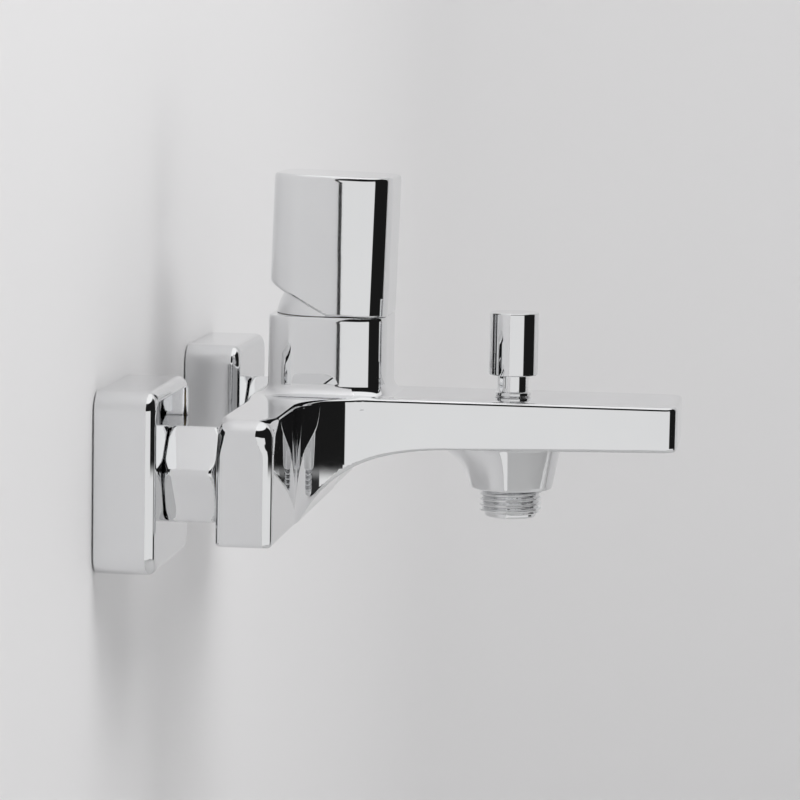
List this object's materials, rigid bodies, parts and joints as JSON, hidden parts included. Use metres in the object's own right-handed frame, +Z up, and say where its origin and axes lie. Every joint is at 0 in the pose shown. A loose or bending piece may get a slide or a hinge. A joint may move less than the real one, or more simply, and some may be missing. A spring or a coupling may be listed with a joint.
{
  "type": "wall mounted bath faucet",
  "caption": "Wall mounted single-lever bath faucet with a flat square spout, block handle, square escutcheons and a pull-up diverter over a threaded hose outlet.",
  "frame": {"origin": "on the wall plane, midway between the two inlets, at inlet-axis height", "axes": "+X along the wall, from the hot inlet to the cold inlet as laid out here; +Y into the wall, so the spout points along -Y; +Z up"},
  "size_m": [0.208, 0.1995, 0.1231],
  "materials": {
    "chrome_plate": "polished chrome plate on brass, mirror bright, with faint casting waviness",
    "brass": "machined brass, fine turning marks",
    "stainless_steel": "drawn stainless steel, lightly brushed",
    "black_rubber": "matt moulded rubber",
    "alumina_ceramic": "lapped alumina, satin",
    "white_plastic": "moulded acetal, matt",
    "grey_plastic": "moulded plastic, matt",
    "blue_plastic": "moulded plastic, matt"
  },
  "bodies": {
    "faucet": {"body": "chrome_plate", "eccentric_connector_left": "chrome_plate", "eccentric_connector_right": "chrome_plate", "escutcheon_left": "chrome_plate", "escutcheon_right": "chrome_plate", "union_nut_left": "chrome_plate", "union_nut_right": "chrome_plate", "dome_cover": "chrome_plate", "diverter_tower": "chrome_plate", "hose_nipple": "chrome_plate", "aerator_ring": "chrome_plate", "inlet_nipple_left": "brass", "inlet_nipple_right": "brass", "retaining_nut": "brass", "diverter_spring": "stainless_steel", "check_valve_spring": "stainless_steel", "escutcheon_ring_left": "black_rubber", "escutcheon_ring_right": "black_rubber", "filter_washer_left": "black_rubber", "filter_washer_right": "black_rubber", "port_seal_hot": "black_rubber", "port_seal_cold": "black_rubber", "port_seal_outlet": "black_rubber", "cartridge_oring": "black_rubber", "aerator_washer": "black_rubber", "fixed_disc": "alumina_ceramic", "cartridge_base": "white_plastic", "cartridge_housing": "white_plastic", "diverter_sleeve": "white_plastic", "check_valve_housing": "white_plastic", "aerator_insert": "white_plastic"},
    "turret": {"rotor": "blue_plastic", "lever_pin": "stainless_steel"},
    "lever": {"handle": "chrome_plate", "cartridge_lever": "stainless_steel", "handle_set_screw": "stainless_steel", "screw_plug": "chrome_plate"},
    "disc": {"moving_disc": "alumina_ceramic", "disc_carrier": "grey_plastic"},
    "diverter": {"diverter_knob": "chrome_plate", "diverter_rod": "stainless_steel", "diverter_piston": "brass", "piston_seal_upper": "black_rubber", "piston_seal_lower": "black_rubber"},
    "check_poppet": {"check_valve_poppet": "blue_plastic"}
  },
  "joints": [
    {"name": "handle_turn", "type": "hinge", "parent": "faucet", "child": "turret", "pos_m": [0, -0.0594, 0], "axis": [0, 0, 1], "range_deg": [-45, 45]},
    {"name": "handle_lift", "type": "hinge", "parent": "turret", "child": "lever", "pos_m": [0, -0.0594, 0.0435], "axis": [-1, 0, 0], "range_deg": [0, 23]},
    {"name": "disc_slide", "type": "slide", "parent": "turret", "child": "disc", "axis": [0, -1, 0], "range_m": [0, 0.005]},
    {"name": "diverter_pull", "type": "slide", "parent": "faucet", "child": "diverter", "axis": [0, 0, 1], "range_m": [0, 0.0075], "stiffness_N_per_m": 150, "springref_m": -0.006, "deforming": ["diverter_spring"]},
    {"name": "check_valve_open", "type": "slide", "parent": "faucet", "child": "check_poppet", "axis": [0, 0, -1], "range_m": [0, 0.003], "stiffness_N_per_m": 60, "springref_m": -0.002, "deforming": ["check_valve_spring"]}
  ],
  "couplings": [
    {"joint": "disc_slide", "follows": "handle_lift", "m_per_rad": 0.0119}
  ]
}
